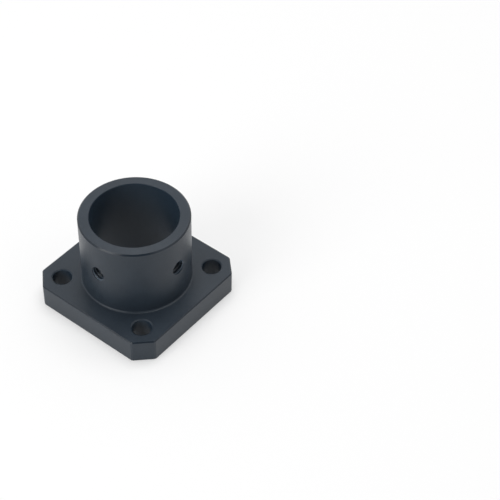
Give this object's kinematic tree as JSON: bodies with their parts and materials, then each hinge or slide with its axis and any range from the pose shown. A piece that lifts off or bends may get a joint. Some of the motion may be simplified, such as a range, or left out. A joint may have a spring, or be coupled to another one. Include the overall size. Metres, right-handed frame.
{
  "type": "shaft support",
  "caption": "Square flange with cut corners and an upright round collar that holds the end of a shaft, locked by screws through the collar's wall.",
  "frame": {"origin": "on the bore's axis, in the flange's mounting face, which is also the centre of the part's footprint", "axes": "+Z along the bore, from the mounting face towards the collar's open end; +X outward along one side hole, square to a side of the flange; the other side hole points along -Y"},
  "size_m": [0.034, 0.034, 0.024],
  "materials": {
    "black_anodised_aluminium": "satin black anodised, fine machining marks"
  },
  "bodies": {
    "root": {"flanged_support": "black_anodised_aluminium"}
  },
  "joints": []
}
